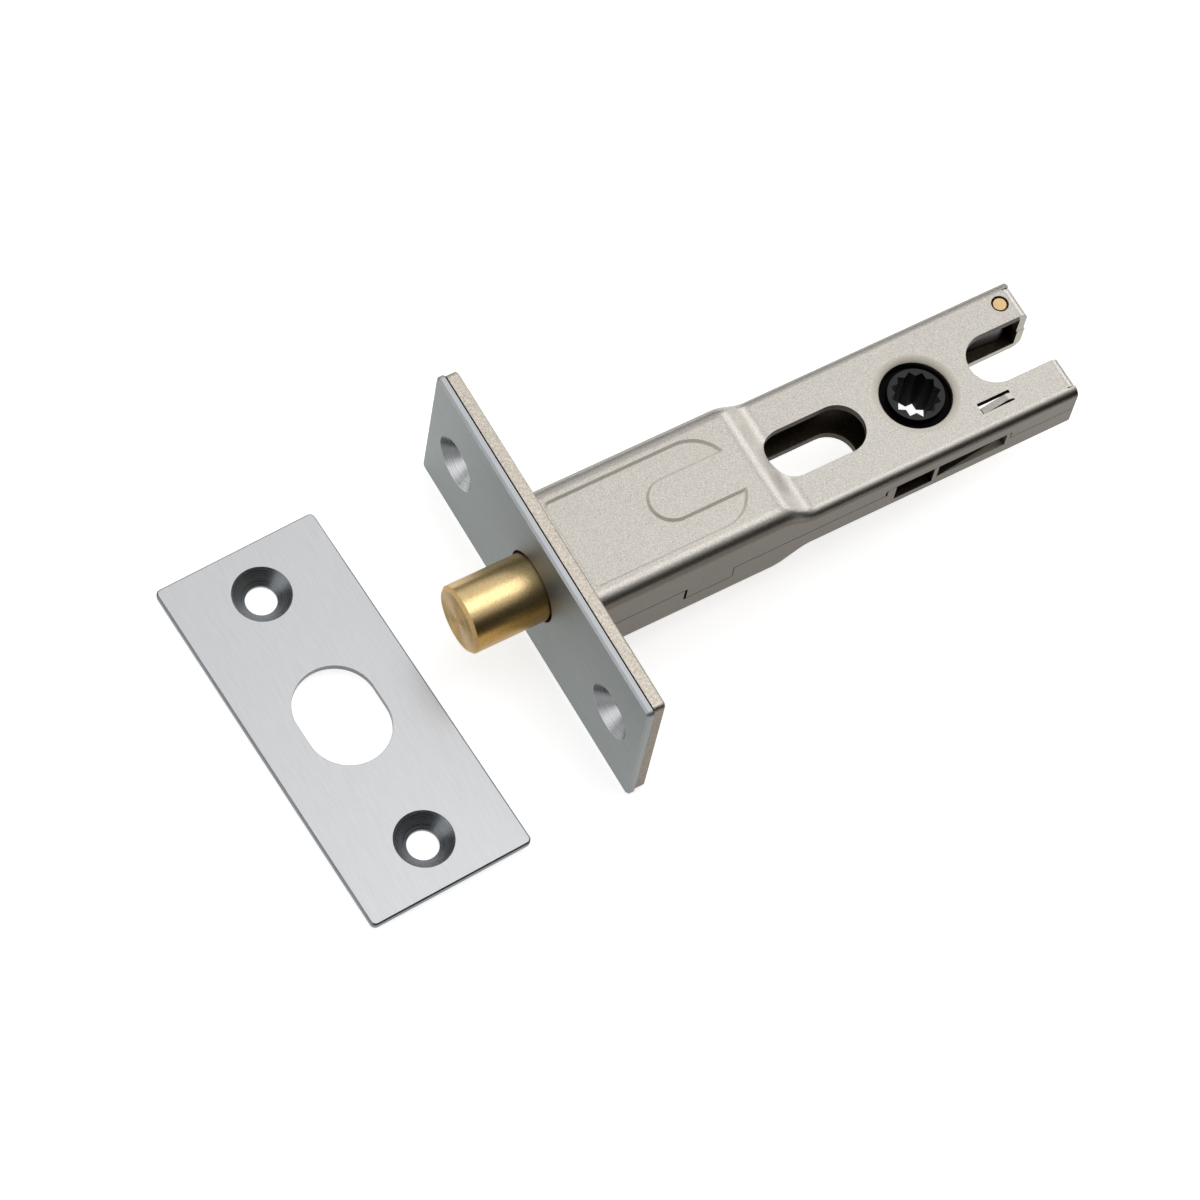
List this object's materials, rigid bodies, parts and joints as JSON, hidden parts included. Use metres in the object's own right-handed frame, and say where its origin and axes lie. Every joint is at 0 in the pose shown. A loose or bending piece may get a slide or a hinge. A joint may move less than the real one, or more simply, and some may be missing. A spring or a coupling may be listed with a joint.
{
  "type": "privacy bolt",
  "caption": "Tubular privacy bolt with faceplate, pressed case, star-bore follower and sliding round bolt, with its countersunk strike plate lying beside it.",
  "frame": {"origin": "centre of the faceplate's front face, on the bolt's axis", "axes": "+X into the door along the bolt, +Y along the faceplate's length, +Z across the faceplate, up from the surface that its long edge stands on"},
  "size_m": [0.1249, 0.0588, 0.025],
  "materials": {
    "faceplate_satin": "satin, fine brushing along its length",
    "backing_nickel": "dull nickel plate",
    "case_nickel": "blasted nickel plate",
    "bolt_brass": "turned",
    "strap_steel": "zinc plate",
    "rivet_steel": "zinc plate",
    "follower_nylon": "moulded, black",
    "guide_acetal": "moulded, natural white",
    "rivet_brass": "turned",
    "spring_steel": "rolled strip",
    "strike_satin": "satin, brushed along its length"
  },
  "bodies": {
    "lock": {"faceplate": "faceplate_satin", "backing_plate": "backing_nickel", "case_upper": "case_nickel", "case_lower": "case_nickel", "bolt_guide": "guide_acetal", "case_rivet": "rivet_brass", "detent_spring": "spring_steel", "strike_plate": "strike_satin"},
    "sliding_bolt": {"bolt": "bolt_brass", "bolt_tail": "strap_steel", "tail_rivets": "rivet_steel"},
    "turning_follower": {"follower": "follower_nylon"}
  },
  "joints": [
    {"name": "bolt_slide", "type": "slide", "parent": "lock", "child": "sliding_bolt", "axis": [1, 0, 0], "range_m": [0, 0.01089]},
    {"name": "follower_turn", "type": "hinge", "parent": "lock", "child": "turning_follower", "pos_m": [0.06065, 0, 0], "axis": [0, 0, 1], "range_deg": [0, 90]}
  ],
  "couplings": [
    {"joint": "follower_turn", "follows": "bolt_slide", "rad_per_m": 144.25}
  ]
}
